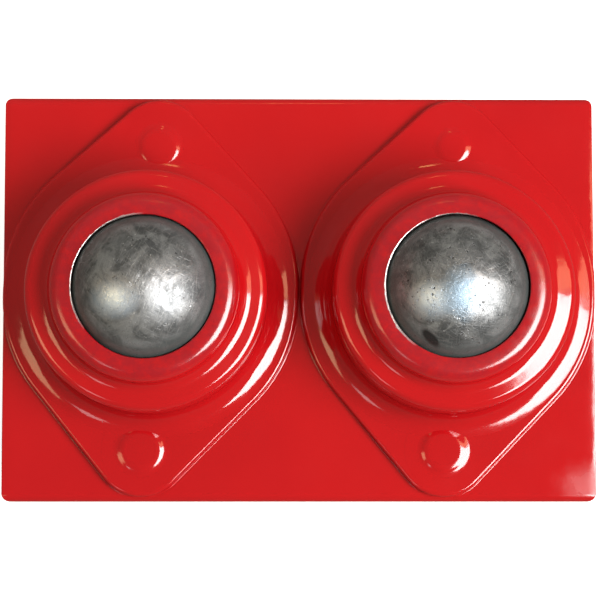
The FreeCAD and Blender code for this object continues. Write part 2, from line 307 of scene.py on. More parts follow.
def shade(shader, **sockets):
    """Feed the shader's inputs, with _ for a space in a name."""
    for name, value in sockets.items():
        feed(shader.inputs[name.replace("_", " ")], value)


def where(x=0.0, y=0.0, z=0.0):
    """Object coordinates in millimetres, measured from a point of the stand."""
    coordinates = node("TexCoord", {}).outputs["Object"]
    mapping = {"Vector": coordinates, "Location": (-x, -y, -z), "Scale": [1 / MM] * 3}
    return node("Mapping", mapping).outputs["Vector"]


def stretch(place, scale, turn=(0, 0, 0)):
    """Coordinates turned and then scaled, for a pattern that runs in one direction."""
    aligned = node("Mapping", {"Vector": place, "Rotation": turn}).outputs["Vector"]
    return node("Mapping", {"Vector": aligned, "Scale": scale}).outputs["Vector"]


# %% Sums, patterns and coats
def noise(place, size, detail=3.0, rough=0.5, twist=0.0):
    """Cloudy noise whose clouds are about size across."""
    inputs = {"Vector": place, "Scale": 1 / size, "Detail": detail, "Roughness": rough,
              "Distortion": twist}
    return node("TexNoise", inputs).outputs["Fac"]


def spread(value, low, high, start=0.0, end=1.0):
    """Stretch the part of a value between low and high over start to end."""
    inputs = {"Value": value, "From Min": low, "From Max": high, "To Min": start, "To Max": end}
    return node("MapRange", inputs).outputs["Result"]


def calc(operation, first, second):
    """One sum of two numbers or links."""
    made = node("Math", {}, operation=operation)
    feed(made.inputs[0], first)
    feed(made.inputs[1], second)
    return made.outputs["Value"]


def times(first, second):
    """First times second."""
    return calc("MULTIPLY", first, second)


def add(base, value, weight):
    """A base value plus a weighted one."""
    return calc("ADD", base, times(value, weight))


def mix(share, first, second):
    """Colour between two colours."""
    inputs = {"Fac": share, "Color1": first, "Color2": second}
    return node("MixRGB", inputs).outputs["Color"]


def coat(under, colour, share, cover):
    """A colour over another that hides no more of it than cover, where the share is 1."""
    return mix(times(share, cover), under, colour)


def bump(height, reach):
    """Surface relief from a height of 0 to 1, reach millimetres deep."""
    inputs = {"Height": height, "Distance": reach * MM, "Strength": 1.0}
    return node("Bump", inputs).outputs["Normal"]


def spot(place, size, ragged, soft, turn=(0, 0, 0)):
    """One spot: 1 in the middle, fading out over soft times its size, with a ragged edge."""
    inside = stretch(place, [1 / side for side in size], turn)
    away = node("VectorMath", {0: inside}, operation="LENGTH").outputs["Value"]
    return spread(calc("ADD", away, ragged), 1.0, 1.0 + soft, 1.0, 0.0)


# %% [markdown]
# ## Floor and light
# A pale floor carries the stand, and it glows a little, as the sheet of a light table does, so
# that no hard shadow lies on it. The balls in the picture show where the light comes from: one
# large white window on the right with a rose wall beside it, a warm wall with a small window on
# the left, and a dark, slightly brown room round them. A small orange lamp at the back shows in
# the coves there. Area lights in those directions give the long bright arcs in the coves of the
# housings, with dark red on the sides that turn away. A wide soft light from the back fills the
# shade. Gloss doesn't mirror that light or the floor, or each steep edge would show them as a
# line.

# %% Floor
FLOOR_SIZE = 6.0
FLOOR_GREY, FLOOR_PALE = (0.86, 0.86, 0.86, 1), (0.9, 0.9, 0.9, 1)
FLOOR_GLOW = 0.6
floor_finish, shader = new_finish("pale_floor")
here = where()
grain = noise(here, 40, 4)
shade(shader, Base_Color=mix(grain, FLOOR_GREY, FLOOR_PALE), Roughness=0.75,
      Normal=bump(noise(here, 1.5), 0.02), Specular_IOR_Level=0.2,
      Emission_Color=(1, 1, 1, 1), Emission_Strength=FLOOR_GLOW)
bpy.ops.mesh.primitive_plane_add(size=FLOOR_SIZE)
floor = start("floor")
bpy.ops.mesh.subdivide(number_cuts=3)
close(floor)
floor.data.materials.append(floor_finish)
floor.visible_glossy = False
print("floor", FLOOR_SIZE, "m")

# %% Lights
HEAD = Vector((0, 0, 120)) * MM
ROOM = (0.165, 0.158, 0.130, 1)


def window(name, direction, distance, across, along, strength, colour, mirrored=True):
    """A flat light in a direction from the head, across wide and along long, in metres."""
    bpy.ops.object.light_add(type="AREA")
    lamp = bpy.context.object
    lamp.name = name
    lamp.matrix_world = facing(HEAD + Vector(direction).normalized() * distance, HEAD, BACK)
    lamp.data.shape = "RECTANGLE"
    lamp.data.size = across
    lamp.data.size_y = along
    lamp.data.energy = strength * math.pi * across * along
    lamp.data.color = colour
    lamp.visible_camera = False
    lamp.visible_glossy = mirrored


window("white_window", (0.60, -0.23, 0.766), 0.75, 0.44, 0.46, 15.4, (1.0, 0.99, 0.98))
window("rose_wall", (0.60, 0.14, 0.766), 0.76, 0.44, 0.08, 4, (1.0, 0.56, 0.30))
window("warm_wall", (-0.66, -0.215, 0.72), 0.75, 0.36, 0.20, 3.4, (1.0, 0.72, 0.40))
window("far_window", (-0.42, -0.56, 0.71), 0.75, 0.14, 0.14, 2.5, (1.0, 0.98, 0.96))
window("back_lamp", (0.01, 0.63, 0.77), 1.2, 0.06, 0.07, 6, (1.0, 0.62, 0.22))
window("soft_fill", (-0.18, 0.74, 0.65), 1.0, 1.2, 1.2, 1.3, (1.0, 0.98, 0.96), mirrored=False)
world = bpy.data.worlds.new("room")
bpy.context.scene.world = world
world.use_nodes = True
world.node_tree.nodes["Background"].inputs["Color"].default_value = ROOM
bpy.context.scene.view_settings.view_transform = "Standard"

# %% [markdown]
# ## Red enamel
# The whole head is painted in one thick coat of gloss enamel after it is riveted. Such a coat is
# never flat: it has a long slow wave from the brush or the spray, a fine orange-peel skin, a few
# specks of dust, and slightly different depths of red. A bump of two noises bends the reflections
# the way that coat does. The top of each collar is dry and rubbed, and its lip is worn bare on one
# side. Inside the lip the paint is made near black, a painted shade of the gap round the ball.
# Handling has dulled one corner of the plate.

# %% Wear and painted shade of the lips
RUBBED_R, PAINTED_R = 12.46, 12.58
# Inside these radii the lip is painted near black: painted shade of the gap round the ball.
SHADED_R, UNSHADED_R = 11.92, 12.02


def lip_wear_and_shade(here):
    """Shares of bare metal, on a lip's left and more so at the right unit, and of painted shade
    inside.
    """
    axes = node("SeparateXYZ", {"Vector": here}).outputs
    unit = times(calc("SIGN", axes["X"], 0), UNIT_X)
    beside = calc("SUBTRACT", axes["X"], unit)
    flat = node("CombineXYZ", {"X": beside, "Y": axes["Y"]}).outputs["Vector"]
    radius = node("VectorMath", {0: flat}, operation="LENGTH").outputs["Value"]
    ragged = add(radius, noise(here, 1.1, 5, 0.7), 0.5)
    rubbed_and_glow = spread(ragged, RUBBED_R, PAINTED_R, 1.0, 0.0)
    leftwards = calc("SUBTRACT", times(axes["Y"], 0.5), beside)
    leftwards = add(leftwards, unit, 0.08)
    bare = times(rubbed_and_glow, spread(leftwards, 4.0, 9.0))
    return bare, spread(radius, SHADED_R, UNSHADED_R, 1.0, 0.0)


# %% Red enamel
ENAMEL = (0.38, 0.0035, 0.0060, 1)
ENAMEL_DEEP = (0.35, 0.0028, 0.0055, 1)
ENAMEL_LIGHT = (0.41, 0.0050, 0.0060, 1)
ENAMEL_ROSE = (0.27, 0.005, 0.010, 1)
ENAMEL_FLECK = (0.20, 0.012, 0.012, 1)
BARE_LIP = (0.66, 0.62, 0.62, 1)
# A near-black painted shade for the inside of the lip.
LIP_SHADE = (0.012, 0.008, 0.008, 1)
DRY_FROM = COLLAR_TOP - 1.6
KNOCKED_CORNER = (51.0, -33.0, PLATE_TOP)
HAZE_SIZE = (4.5, 3.0, 4.0)
GLOSS_LEVEL, PAINT_IOR = 0.75, 1.52


def red_enamel(name, dry_from=None, hazy=None):
    """Gloss red paint, thin and rubbed above the height dry_from, and dulled round a point."""
    finish, shader = new_finish(name)
    here = where()
    cloud = noise(here, 22, 4)
    red = mix(spread(cloud, 0.3, 0.7), ENAMEL_DEEP, ENAMEL_LIGHT)
    red = mix(0.5, red, ENAMEL)
    speck = node("TexVoronoi", {"Vector": here, "Scale": 0.22}).outputs["Distance"]
    dust = spread(speck, 0.03, 0.06, 1.0, 0.0)
    wave = noise(here, 5.5, 2, 0.45)
    peel = noise(here, 0.9, 2)
    height = add(wave, peel, 0.06)
    height = add(height, dust, 0.12)
    gloss = spread(noise(here, 9, 5), 0.3, 0.7, 0.06, 0.13)
    if dry_from:
        high = node("SeparateXYZ", {"Vector": here}).outputs["Z"]
        dry = spread(high, dry_from, dry_from + 1.2)
        grain = noise(here, 0.33, 3, 0.6)
        height = add(height, times(grain, 0.07), dry)
        gloss = add(gloss, dry, 0.09)
        rubbed_and_glow = spread(noise(here, 1.6, 6, 0.7), 0.28, 0.56)
        red = coat(red, ENAMEL_ROSE, times(dry, rubbed_and_glow), 0.95)
        flecks = spread(noise(here, 0.8, 5, 0.7), 0.62, 0.72)
        red = coat(red, ENAMEL_FLECK, times(dry, flecks), 0.6)
        bare, dirt_and_shade = lip_wear_and_shade(here)
        # Inside the lip the red is painted near black, a painted shade of the gap round the ball.
        red = mix(dirt_and_shade, mix(bare, red, BARE_LIP), LIP_SHADE)
        gloss = calc("ADD", gloss, add(dirt_and_shade, bare, 0.12))
        shade(shader, Metallic=bare)
    if hazy:
        patchy = times(noise(here, 2.2, 4, 0.6), 1.2)
        haze = spot(where(*hazy), HAZE_SIZE, patchy, 1.4)
        gloss = add(gloss, haze, 0.24)
    shade(shader, Base_Color=red, Roughness=gloss, Normal=bump(height, 0.07))
    shade(shader, IOR=PAINT_IOR, Specular_IOR_Level=GLOSS_LEVEL)
    return finish


plate_red = red_enamel("red_enamel", hazy=KNOCKED_CORNER)
unit_red = red_enamel("red_enamel_on_units", DRY_FROM)
PAINTED = (plate_red, "red_paint")
PAINTED_UNIT = (unit_red, "red_paint")
print("enamel finishes", plate_red.name, unit_red.name)

# %% [markdown]
# ## Worn ball steel
# The balls are hard steel that pipes have rubbed for years: grey, cloudy, with fine scratches in
# all directions, dark specks of rust and a few smudges of dirt. A mirror would show the lamps as
# sharp shapes. The scratches spread them into soft glows, so the roughness is high and changes
# from grain to grain. On the crown the steel is nearly bare, with a pale painted highlight where
# the glow of the warm wall shows, and one place pressed dull. The right ball has a bluish painted
# halo beside its main highlight. Towards the rim, where the ball sinks under the lip, a ring of
# painted shade darkens it, and there the share of metal and the colour fall together.

# %% Marks on the ball steel
STEEL_DARK = (0.150, 0.156, 0.160, 1)
STEEL_PALE = (0.43, 0.437, 0.445, 1)
# A bluish colour for a painted halo beside the highlight.
STEEL_BLUE_HALO = (0.35, 0.48, 0.60, 1)
# A pale bluish colour for a painted highlight on the crown.
STEEL_GLOW = (0.695, 0.838, 1.0, 1)
STEEL_PRESSED = (0.34, 0.36, 0.37, 1)
STEEL_SCRATCH = (0.58, 0.58, 0.57, 1)
STEEL_FLECK = (0.85, 0.85, 0.85, 1)
STEEL_GRIME = (0.05, 0.05, 0.049, 1)
STEEL_BLOTCH = (0.07, 0.07, 0.07, 1)
STEEL_PIT = (0.03, 0.03, 0.03, 1)
# A dark grey painted shade for the ring near the rim of the ball.
RIM_SHADE = (0.054, 0.070, 0.068, 1)
SMUDGE = (0.015, 0.015, 0.015, 1)
STEEL_BARE, STEEL_AT_RIM = 0.85, 0.25
CROWN_Z = PLATE_TOP + 29
# A pale painted highlight on the crown, where the warm wall's glow shows, and a dull pressed place.
GLOW_X, GLOW_Y, GLOW_SIZE = -4.6, -2.8, (2.5, 1.9, 4.0)
PRESSED_X, PRESSED_Y, PRESSED_SIZE = 4.0, -2.2, (2.8, 2.2, 4.0)
# Sizes of the painted bluish halo and of the smudge.
HALO_SIZE, SMUDGE_SIZE = (1.9, 2.6, 5.0), (2.0, 0.72, 3.0)
SMUDGE_TURN = (0, 0, math.radians(45))
# A ring of painted shade darkens the ball towards its rim, under the lip, where its metal also
# fades.
RIM_SHADE_FOOT, RIM_SHADE_TOP, RIM_FADE_TOP = (1.5, 4.0), (7.4, 9.8), (7.2, 9.4)
SCRATCH_TURNS = ((0.3, 0.2, 0.4), (1.2, 0.5, 1.9), (0.4, 1.4, 2.7), (2.0, 0.3, 0.9))


def scratch_lines(here):
    """Fine lines that run over the ball in four directions."""
    scratches = None
    for turn in SCRATCH_TURNS:
        across = stretch(here, (7.0, 0.3, 0.3), turn)
        lines = spread(noise(across, 1.0, 4, 0.6, 0.6), 0.58, 0.68)
        scratches = lines if scratches is None else calc("MAXIMUM", scratches, lines)
    return scratches


# %% Worn ball steel
def worn_steel(name, x, rolled, pitted, smudge=None, halo=None):
    """Scratched steel for the ball at x, rolled to one side, with smudge and painted bluish halo if
    given.
    """
    finish, shader = new_finish(name)
    middle = where(x, 0, BALL_Z)
    here = stretch(middle, (1, 1, 1), rolled)
    cloud = noise(here, 4.5, 7, 0.62, 0.9)
    fine = noise(here, 0.8, 6, 0.72, 1.5)
    scratches = scratch_lines(here)
    steel = mix(spread(cloud, 0.40, 0.60), STEEL_DARK, STEEL_PALE)
    steel = coat(steel, STEEL_GRIME, spread(fine, 0.52, 0.70), 0.5)
    steel = coat(steel, STEEL_SCRATCH, scratches, 0.45)
    # A painted highlight: a pale spot on the crown where the glow of the warm wall shows.
    rubbed_and_glow = spot(where(x + GLOW_X, GLOW_Y, CROWN_Z), GLOW_SIZE, cloud, 1.4)
    steel = coat(steel, STEEL_GLOW, rubbed_and_glow, 0.85)
    pressed = spot(where(x + PRESSED_X, PRESSED_Y, CROWN_Z), PRESSED_SIZE, cloud, 1.6)
    steel = coat(steel, STEEL_PRESSED, pressed, 0.3)
    zone = spread(noise(here, 3.2, 3), 0.56 - pitted, 0.66 - pitted)
    pits = times(spread(noise(here, 0.6, 4, 0.7), 0.59, 0.65), zone)
    blotched = 0.4 * pitted
    blotch = noise(here, 1.5, 6, 0.75)
    blotch = spread(blotch, 0.68 - blotched, 0.76 - blotched)
    steel = coat(steel, STEEL_BLOTCH, blotch, 0.6)
    steel = mix(pits, steel, STEEL_PIT)
    # A painted reflection: a bluish halo beside the main highlight.
    if halo:
        blue_halo = spot(where(*halo), HALO_SIZE, cloud, 1.5)
        steel = coat(steel, STEEL_BLUE_HALO, blue_halo, 0.85)
    flecks = spread(noise(here, 0.5, 3), 0.69, 0.72)
    steel = coat(steel, STEEL_FLECK, flecks, 0.8)
    height = node("SeparateXYZ", {"Vector": middle}).outputs["Z"]
    height = calc("ADD", height, fine)
    # Towards the rim the steel gets painted shade and less metal.
    foot = spread(height, *RIM_SHADE_FOOT)
    steel = mix(times(spread(height, *RIM_SHADE_TOP, 0.9, 0.0), foot), steel, RIM_SHADE)
    rim_fade = times(spread(height, *RIM_FADE_TOP, 1.0, 0.0), foot)
    if smudge:
        ragged = times(fine, 0.5)
        dirt_and_shade = spot(where(*smudge), SMUDGE_SIZE, ragged, 0.5, SMUDGE_TURN)
        steel = coat(steel, SMUDGE, dirt_and_shade, 0.9)
    cloudy = spread(cloud, 0.3, 0.7, 0.06, -0.06)
    gloss = calc("ADD", cloudy, spread(fine, 0.35, 0.65, 0.27, 0.52))
    gloss = add(gloss, pressed, 0.12)
    relief = add(times(fine, 0.6), scratches, -0.5)
    relief = add(relief, cloud, 2.0)
    relief = add(relief, pits, -1.5)
    shade(shader, Base_Color=steel, Roughness=gloss, Normal=bump(relief, 0.02))
    shade(shader, Metallic=spread(rim_fade, 0.0, 1.0, STEEL_BARE, STEEL_AT_RIM))
    return finish


SMUDGE_AT = (21.4, -8.8, PLATE_TOP + 25)
# Where the painted bluish halo sits on the right ball.
HALO_AT = (UNIT_X, -1.8, PLATE_TOP + 30)
ball_steel = {
    "left": worn_steel("worn_steel_left", -UNIT_X, (0.9, 2.1, 0.4), 0.02),
    "right": worn_steel("worn_steel_right", UNIT_X, (0, 0, 0), 0.14, SMUDGE_AT, HALO_AT),
}
print("ball finishes", [finish.name for finish in ball_steel.values()])

# %% [markdown]
# ## Zinc, plastic, brass and felt
# The sliding tube and the screw are zinc plated, which leaves a cloudy bluish skin over fine
# drawing lines. The knob, the bush and the glide are black moulded plastic with an etched skin.
# Pad and insert are brass that has begun to tarnish. The wipers are dark felt. The race cups and
# small balls are clean ground steel.

# %% Zinc plate
ZINC_BLUE, ZINC_PALE = (0.50, 0.53, 0.57, 1), (0.68, 0.68, 0.66, 1)
ZINC_STAIN = (0.40, 0.37, 0.30, 1)
zinc, shader = new_finish("zinc_plate")
here = where()
cloud = noise(here, 11, 6, 0.6)
lines = noise(stretch(here, (4.0, 4.0, 0.12)), 1.0, 4)
grey = mix(spread(cloud, 0.3, 0.7), ZINC_BLUE, ZINC_PALE)
grey = coat(grey, ZINC_STAIN, spread(noise(here, 4, 8, 0.7), 0.6, 0.8), 0.4)
gloss = add(spread(cloud, 0.3, 0.7, 0.26, 0.40), lines, 0.08)
shade(shader, Base_Color=grey, Roughness=gloss, Normal=bump(lines, 0.008), Metallic=1.0)
PLATED = (zinc, "zinc_plate")
print("finish", zinc.name)

# %% Black plastic
PLASTIC_BLACK, PLASTIC_SCUFF = (0.018, 0.018, 0.02, 1), (0.07, 0.07, 0.07, 1)
plastic, shader = new_finish("black_plastic")
here = where()
scuff = spread(noise(stretch(here, (0.5, 2.0, 0.7)), 2.0, 7, 0.7), 0.58, 0.75)
black = coat(PLASTIC_BLACK, PLASTIC_SCUFF, scuff, 0.5)
gloss = spread(noise(here, 7, 4), 0.3, 0.7, 0.38, 0.55)
shade(shader, Base_Color=black, Roughness=gloss, Normal=bump(noise(here, 0.35, 3), 0.03))
MOULDED = (plastic, "black_plastic")
print("finish", plastic.name)

# %% Felt
FELT_BLACK, FELT_GREY = (0.012, 0.012, 0.012, 1), (0.05, 0.048, 0.045, 1)
felt, shader = new_finish("felt")
fuzz = noise(where(), 0.25, 5, 0.7, 2.0)
shade(shader, Base_Color=mix(fuzz, FELT_BLACK, FELT_GREY), Normal=bump(fuzz, 0.2))
shade(shader, Roughness=0.95, Sheen_Weight=0.3)
print("finish", felt.name)

# %% Brass and ground steel
BRASS, BRASS_DULL = (0.72, 0.50, 0.20, 1), (0.45, 0.30, 0.13, 1)
GROUND_GREY, GROUND_PALE = (0.50, 0.50, 0.50, 1), (0.66, 0.66, 0.65, 1)


def cloudy_metal(name, size, detail, patches, colours, gloss, grain, relief):
    """Metal with clouds of a size in two colours, and a fine grain."""
    finish, shader = new_finish(name)
    here = where()
    cloud = noise(here, size, detail)
    shade(shader, Base_Color=mix(spread(cloud, *patches), *colours), Metallic=1.0)
    shade(shader, Roughness=spread(cloud, 0.3, 0.7, *gloss))
    shade(shader, Normal=bump(noise(here, grain), relief))
    print("finish", name)
    return finish


brass = cloudy_metal("brass", 4, 6, (0.4, 0.7), (BRASS, BRASS_DULL), (0.22, 0.42), 0.4, 0.01)
ground_steel = cloudy_metal(
    "ground_steel", 3, 5, (0, 1), (GROUND_GREY, GROUND_PALE), (0.15, 0.3), 0.5, 0.004)

# %% [markdown]
# ## Head plate
# A piece of 6 mm flat bar, cut to length: the two long edges are rolled round, and the two cut
# ends are just broken with a file. One bevel can't give two roundings round a corner. So one block
# gets the corners and the filed rims, a longer block gets the rolled edges, and the plate is what
# the two blocks share. Its faces are then cut into small squares, because long thin triangles show
# as lines in gloss paint, and one corner is knocked down by a hair, which catches the light.

# %% Head plate
X, Z = 0, 2
PLATE = Vector((104.2, 71.5, 6.0))
PLATE_BOTTOM = PLATE_TOP - PLATE.z
PLATE_CORNER, PLATE_EDGE, PLATE_END = 1.5, 1.3, 0.2
SQUARE = 2
CORNER_DROP, CORNER_REACH = 0.16, 9


def runs(axis):
    """A test for edges that run along one axis."""
    def test(edge):
        line = edge.verts[0].co - edge.verts[1].co
        return abs(line[axis]) > 0.99 * line.length
    return test


def slab(name, size, bottom, corner):
    """A block on its place along Z with rounded upright corners, left open for more work."""
    bpy.ops.mesh.primitive_cube_add(size=1)
    piece = start(name)
    bpy.ops.transform.resize(value=size * MM)
    bpy.ops.transform.translate(value=(0, 0, (bottom + size.z / 2) * MM))
    select(piece, "EDGE", runs(Z))
    bevel(corner, 12)
    return piece


def at_corner(vert):
    """True for a point of the top of the plate at the knocked corner."""
    x, y, z = vert.co / MM
    return x > KNOCKED_CORNER[0] and y < KNOCKED_CORNER[1] and z > PLATE_TOP - 1


head_plate = slab("painted_head_plate", PLATE, PLATE_BOTTOM, PLATE_CORNER)
select(head_plate, "EDGE", lambda e: level(e, PLATE_TOP) or level(e, PLATE_BOTTOM))
bevel(PLATE_END, 4)
close(head_plate)
rolled_bar = slab("rolled_bar", PLATE + Vector((20, 0, 0)), PLATE_BOTTOM, 0.01)
select(rolled_bar, "EDGE", runs(X))
bevel(PLATE_EDGE, 10)
combine(head_plate, rolled_bar, "INTERSECT")
reopen(head_plate)
for axis, reach in ((Vector((1, 0, 0)), 50), (Vector((0, 1, 0)), 33)):
    for step in range(-reach, reach + 1, SQUARE):
        select_all()
        bpy.ops.mesh.bisect(plane_co=axis * step * MM, plane_no=axis)
select(head_plate, "VERT", at_corner)
bpy.ops.transform.translate(
    value=(0, 0, -CORNER_DROP * MM), use_proportional_edit=True,
    proportional_edit_falloff="SHARP", proportional_size=CORNER_REACH * MM)
finish_piece(head_plate, "head", *PAINTED, "head_plate")

# %% [markdown]
# ## Ball unit housings
# Each housing is pressed from one sheet: a flange shaped like a rounded diamond, a round wall, a
# sloping shoulder, and a collar whose lip keeps the ball in. The round part is a spun section. The
# flange is the hull of four discs, as a draughtsman draws it: two large ones in the middle and a
# small one at each tip. A skirt at its foot with a hollow bevel is the paint that fills the joint
# to the plate. Bridges close the two parts into one shell.

# %% Round part of a housing
LIP_R, LIP_THICK = 11.9, 2.1
COLLAR_R, STEP_Z = 16.0, 17.3
SHOULDER_R, SHOULDER_Z, SHOULDER_FLOOR = 20.6, 16.8, 14.9
FLANGE_THICK, PRESSING = 1.6, 1.9
WALL_COVE = 3.7
FOOT_R, FOOT_SLOPE = 24.9, math.radians(12)
HOUSING_STEPS = 192
PAINT = 0.02
SKIRT_FOOT = -0.6
foot_rise = (FOOT_R - SHOULDER_R) * math.tan(FOOT_SLOPE)
collar_bore = COLLAR_R - PRESSING
round_part = spin("round_part", [
    (SHOULDER_R - PRESSING, SKIRT_FOOT, 0),
    (SHOULDER_R - PRESSING, SHOULDER_FLOOR, 0),
    (collar_bore, SHOULDER_FLOOR, 0),
    (collar_bore, LIP_TOP - LIP_THICK, 0),
    (LIP_R + 0.8, LIP_TOP - LIP_THICK, 0),
    (LIP_R, LIP_TOP, 0.3),
    (COLLAR_R, LIP_TOP - 0.2, 2.2),
    (COLLAR_R, STEP_Z, 2.2),
    (SHOULDER_R, SHOULDER_Z, 1.4),
    (SHOULDER_R, FLANGE_THICK + foot_rise, WALL_COVE),
    (FOOT_R, FLANGE_THICK, 0),
], HOUSING_STEPS)


def on_lip(vert):
    """True for a point of the inner rim of the lip."""
    return vert.co.xy.length < (LIP_R + 0.4) * MM and vert.co.z > (LIP_TOP - 1) * MM


select(round_part, "VERT", on_lip)
bpy.ops.transform.vertex_random(offset=0.06 * MM, seed=4)
bpy.ops.mesh.vertices_smooth(factor=0.5, repeat=1)
close(round_part)
print("round part", len(round_part.data.polygons), "faces")

# %% Flange of a housing
WAIST_R, SIDE_RUN = 25.9, 2.0
RIVET_Y, BACK_TIP, TIP_R = 26.8, 27.0, 8.1
FLANGE_LENGTH = RIVET_Y + BACK_TIP + 2 * TIP_R
SKIRT = 0.35
flange = None
for y, radius in ((0, WAIST_R), (SIDE_RUN, WAIST_R), (BACK_TIP, TIP_R), (-RIVET_Y, TIP_R)):
    middle = (0, y, (FLANGE_THICK + PAINT) / 2)
    cylinder(radius, FLANGE_THICK - PAINT, middle, HOUSING_STEPS)
    flange = flange or start("flange")
select_all()
bpy.ops.mesh.convex_hull()
select_all()
bpy.ops.mesh.dissolve_limited(angle_limit=math.radians(0.2))
select(flange, "FACE", lambda f: f.normal.z < -0.99)
bpy.ops.mesh.extrude_region_move()
bpy.ops.transform.resize(value=(1 + SKIRT / WAIST_R, 1 + 2 * SKIRT / FLANGE_LENGTH, 1))
skirt_drop = (0, 0, (SKIRT_FOOT - PAINT) * MM)
bpy.ops.mesh.extrude_region_move(TRANSFORM_OT_translate={"value": skirt_drop})
mesh = bmesh.from_edit_mesh(flange.data)
print("flange", len(mesh.faces), "faces", len(mesh.verts), "points")

# %% Round the flange and bridge it to the round part
FLANGE_EDGE, PAINT_FILLET = 0.6, 0.28
FLAT_RIM = 0.12


def paint_joint(edge):
    """True for an edge between the wall of the flange and the skirt of paint."""
    highest = max(face.calc_center_median().z for face in edge.link_faces)
    return level(edge, PAINT) and highest > 2 * PAINT * MM


def flange_top(face):
    """True for a flat face on top of the flange."""
    height = face.calc_center_median().z - FLANGE_THICK * MM
    return abs(face.normal.z) > 0.999 and abs(height) < NEAR


select(flange, "EDGE", lambda e: level(e, FLANGE_THICK))
bevel(FLANGE_EDGE, 5, clamp_overlap=False)
print("paint joint", select(flange, "EDGE", paint_joint), "edges")
bevel(PAINT_FILLET, 4, clamp_overlap=False)
select(flange, "FACE", lambda f: len(f.verts) > 20)
bpy.ops.mesh.delete(type="ONLY_FACE")
housing = join([flange, round_part], "housing")
reopen(housing)
for z in (FLANGE_THICK, SKIRT_FOOT):
    select(housing, "EDGE", lambda e: e.is_boundary and level(e, z))
    bpy.ops.mesh.bridge_edge_loops()
tidy_shell()
# An inset keeps the rounding from bending the shading of the flat top.
select(housing, "FACE", flange_top)
bpy.ops.mesh.inset(thickness=FLAT_RIM * MM, use_boundary=True)
close(housing)
print("housing", len(housing.data.polygons), "faces")

# %% Put a housing in each place and press it flush with the end of the plate
LIP_SHIFT = 0.12
FLUSH = PLATE.x / 2 - 0.05


def press_flush(piece, end):
    """Press what stands out past one end of the plate flat, a hair behind the plate's own end."""
    reopen(piece)
    select(piece, "VERT", lambda v: v.co.x * end > FLUSH * MM)
    bpy.ops.transform.resize(value=(0, 1, 1), center_override=(end * FLUSH * MM, 0, 0))
    close(piece)


def on_right_lip(vert):
    """True for a point of the right lip, which sits a little off the middle."""
    beside = (vert.co.xy - Vector((UNIT_X, 0)) * MM).length
    return vert.co.z > (COLLAR_TOP - 1) * MM and beside < (LIP_R + 0.5) * MM


for side, x, turn in SIDES:
    painted = place(copy(housing, side + "_painted_housing"), x, 0, PLATE_TOP, turn)
    press_flush(painted, math.copysign(1, x))
    if side == "right":
        reopen(painted)
        select(painted, "VERT", on_right_lip)
        bpy.ops.transform.translate(value=(LIP_SHIFT * MM, LIP_SHIFT * MM, 0))
    finish_piece(painted, "head", *PAINTED_UNIT, side + "_housing")
bpy.data.objects.remove(housing)

# %% [markdown]
# ## Rivets
# Two round-head rivets hold each flange. Thick paint runs over the heads and fills their edge, so
# in the picture they are smooth buttons, no two of quite the same size. One rivet is spun with
# that fillet of paint at its foot, a shank through the plate and an upset tail below, and then
# copied to the four places, where each head gets its own width and height.

# %% Rivets
HEAD_R, HEAD_H = 4.9, 0.42
HEAD_SIZES = ((1.0, 1.0), (0.9, 0.85), (1.0, 1.2), (0.74, 0.62))
SHANK_R, TAIL_R, TAIL_H = 2.5, 4.3, 2.6
head_top = FLANGE_THICK + HEAD_H
skirt_z = FLANGE_THICK + PAINT
skirt_r = HEAD_R + 2.0
rivet = spin("rivet", [
    (0, head_top, 0),
    (HEAD_R - 1.75, head_top, 3.3),
    (HEAD_R - 0.63, skirt_z, 3.3),
    (skirt_r, skirt_z, 0),
    (skirt_r, skirt_z - 0.3, 0),
    (SHANK_R, skirt_z - 0.3, 0),
    (SHANK_R, -PLATE.z, 0),
    (TAIL_R, -PLATE.z, 0),
    (TAIL_R, -PLATE.z - 0.7, 0.5),
    (TAIL_R / 2, -PLATE.z - TAIL_H, 3.0),
    (0, -PLATE.z - TAIL_H, 0),
], 64)
foot = (PLATE_TOP + skirt_z) * MM
rivets = []
for side, x, turn in SIDES:
    for end in (-1, 1):
        seat = Matrix.Rotation(turn, 2) @ Vector((0, end * RIVET_Y))
        width, height = HEAD_SIZES[len(rivets)]
        rivets.append(copy(rivet, "rivet_copy"))
        rivets[-1].scale = (width, width, 1)
        reopen(place(rivets[-1], x + seat.x, seat.y, PLATE_TOP))
        select(rivets[-1], "VERT", lambda v: v.co.z > foot)
        bpy.ops.transform.resize(value=(1, 1, height), center_override=(0, 0, foot))
        close(rivets[-1])
bpy.data.objects.remove(rivet)
finish_piece(join(rivets, "painted_rivets"), "head", *PAINTED, "flange_rivets")

# %% [markdown]
# ## Load balls
# A ball bearing ball is ground round to a few thousandths, so it is a true sphere. A cube that is
# cut into small squares and blown up to a sphere has no poles, where the marks of a finish would
# pinch together.

# %% Load balls
BALL_R = 12.7
bpy.ops.mesh.primitive_cube_add(size=BALL_R * MM)
ball = start("ball")
bpy.ops.mesh.subdivide(number_cuts=47)
bpy.ops.transform.tosphere(value=1)
mesh = bmesh.from_edit_mesh(ball.data)
blown = sum(v.co.length for v in mesh.verts) / len(mesh.verts)
bpy.ops.transform.resize(value=[BALL_R * MM / blown] * 3)
for side, x, turn in SIDES:
    worn = place(copy(ball, side + "_worn_ball"), x, 0, BALL_Z)
    finish_piece(worn, side + "_ball", ball_steel[side], "ball_steel", side + "_load_ball")
bpy.data.objects.remove(ball)

# %% [markdown]
# ## Wiper rings
# A felt ring sits in each collar and keeps grit off the bearing. Only its dark edge can be seen,
# in the gap round the ball, so it is a spun ring whose surface is roughened a little.

